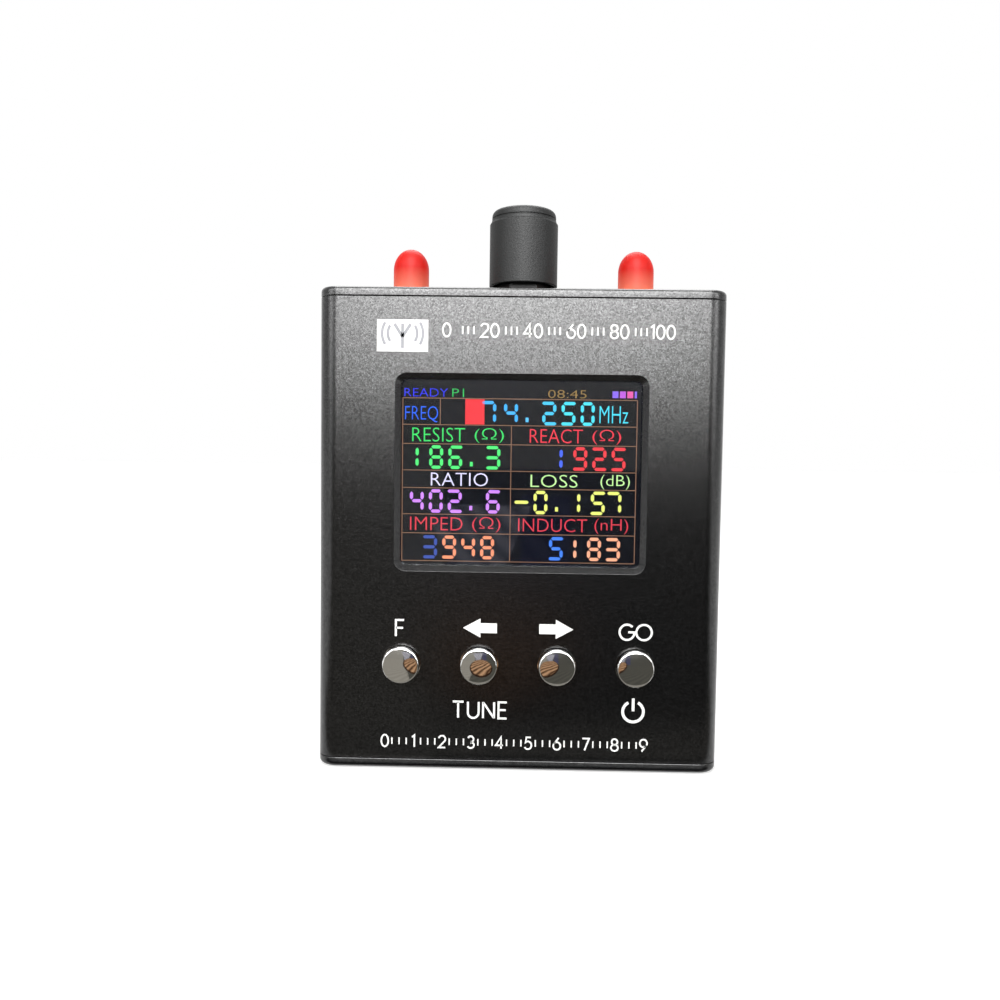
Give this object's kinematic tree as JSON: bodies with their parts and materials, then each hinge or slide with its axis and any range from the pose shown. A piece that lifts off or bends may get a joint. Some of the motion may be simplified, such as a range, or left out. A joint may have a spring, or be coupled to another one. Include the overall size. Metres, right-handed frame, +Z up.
{
  "type": "antenna analyzer",
  "caption": "Hand-held radio antenna analyzer: black extruded case, colour display in a bevelled window, round chrome keys, tuning knob and capped coaxial jacks on top.",
  "frame": {"origin": "middle of the bottom end plate's outer face, which the instrument stands on", "axes": "+Z up the case to the tuning knob, +Y from the front face to the back, +X to the user's right"},
  "size_m": [0.084, 0.0301, 0.1186],
  "materials": {
    "black_anodised": "bead-blasted, black anodised",
    "black_screw_steel": "black zinc",
    "clear_lens": "polished acrylic",
    "black_tape": "matt",
    "lcd_panel": "polariser film on glass",
    "white_frame": "moulded",
    "amber_film": "polyimide film",
    "grey_foam": "closed-cell foam",
    "green_board": "solder mask on glass-epoxy",
    "chip_black": "moulded epoxy",
    "nickel_steel": "nickel plated",
    "black_nylon": "moulded",
    "clear_led": "moulded, clear",
    "bright_chrome": "polished",
    "white_acetal": "moulded",
    "charcoal_knob": "soft matt moulding",
    "zinc_casting": "die cast",
    "shaft_aluminium": "turned",
    "gold_plated_brass": "gold plated",
    "white_ptfe": "turned",
    "brown_coax": "extruded sleeve",
    "red_vinyl": "dipped vinyl, glossy",
    "silver_pouch": "laminated foil",
    "cream_nylon": "moulded",
    "lead_red": "extruded sleeve",
    "lead_black": "extruded sleeve",
    "lead_grey": "extruded sleeve"
  },
  "bodies": {
    "case": {"front_shell": "black_anodised", "back_shell": "black_anodised", "top_end_plate": "black_anodised", "bottom_end_plate": "black_anodised", "top_plate_screws": "black_screw_steel", "bottom_plate_screws": "black_screw_steel", "encoder_washer": "black_screw_steel", "encoder_nut": "black_screw_steel", "window_lens": "clear_lens", "lens_tape": "black_tape", "lcd_glass": "lcd_panel", "lcd_backlight": "white_frame", "lcd_ribbon": "amber_film", "lcd_foam_strips": "grey_foam", "battery_tape": "grey_foam", "main_board": "green_board", "board_chips": "chip_black", "crystals": "nickel_steel", "rf_shield": "nickel_steel", "usb_shell": "nickel_steel", "switch_covers": "nickel_steel", "encoder_push_dome": "nickel_steel", "encoder_pins": "nickel_steel", "usb_tongue": "black_nylon", "switch_bodies": "black_nylon", "encoder_base": "black_nylon", "charge_led": "clear_led", "encoder_housing": "zinc_casting", "sma_jack_left": "gold_plated_brass", "sma_jack_right": "gold_plated_brass", "sma_contacts": "gold_plated_brass", "sma_washers": "gold_plated_brass", "sma_nuts": "gold_plated_brass", "coax_plugs": "gold_plated_brass", "sma_insulators": "white_ptfe", "coax_left": "brown_coax", "coax_right": "brown_coax", "battery": "silver_pouch", "battery_header": "cream_nylon", "battery_plug": "cream_nylon", "battery_lead_red": "lead_red", "battery_lead_black": "lead_black", "encoder_leads": "lead_grey"},
    "mode_button_body": {"mode_button": "bright_chrome", "mode_plunger": "white_acetal"},
    "left_button_body": {"left_button": "bright_chrome", "left_plunger": "white_acetal"},
    "right_button_body": {"right_button": "bright_chrome", "right_plunger": "white_acetal"},
    "ok_button_body": {"ok_button": "bright_chrome", "ok_plunger": "white_acetal"},
    "encoder_rotor": {"encoder_rotor": "white_acetal"},
    "tuning_knob": {"tuning_knob": "charcoal_knob", "encoder_shaft": "shaft_aluminium"},
    "dust_cap_left": {"dust_cap_left": "red_vinyl"},
    "dust_cap_right": {"dust_cap_right": "red_vinyl"}
  },
  "joints": [
    {"name": "mode_press", "type": "slide", "parent": "case", "child": "mode_button_body", "axis": [0, 1, 0], "range_m": [0, 0.0003], "stiffness_N_per_m": 5000, "springref_m": -0.0002},
    {"name": "left_press", "type": "slide", "parent": "case", "child": "left_button_body", "axis": [0, 1, 0], "range_m": [0, 0.0003], "stiffness_N_per_m": 5000, "springref_m": -0.0002},
    {"name": "right_press", "type": "slide", "parent": "case", "child": "right_button_body", "axis": [0, 1, 0], "range_m": [0, 0.0003], "stiffness_N_per_m": 5000, "springref_m": -0.0002},
    {"name": "ok_press", "type": "slide", "parent": "case", "child": "ok_button_body", "axis": [0, 1, 0], "range_m": [0, 0.0003], "stiffness_N_per_m": 5000, "springref_m": -0.0002},
    {"name": "tuning_turn", "type": "hinge", "parent": "case", "child": "encoder_rotor", "pos_m": [0, 0, 0.1], "axis": [0, 0, 1], "continuous": true},
    {"name": "tuning_push", "type": "slide", "parent": "encoder_rotor", "child": "tuning_knob", "axis": [0, 0, -1], "range_m": [0, 0.0005], "stiffness_N_per_m": 5000, "springref_m": -0.0006},
    {"name": "dust_cap_left_pull", "type": "slide", "parent": "case", "child": "dust_cap_left", "axis": [0, 0, 1], "range_m": [0, 0.01]},
    {"name": "dust_cap_right_pull", "type": "slide", "parent": "case", "child": "dust_cap_right", "axis": [0, 0, 1], "range_m": [0, 0.01]}
  ]
}
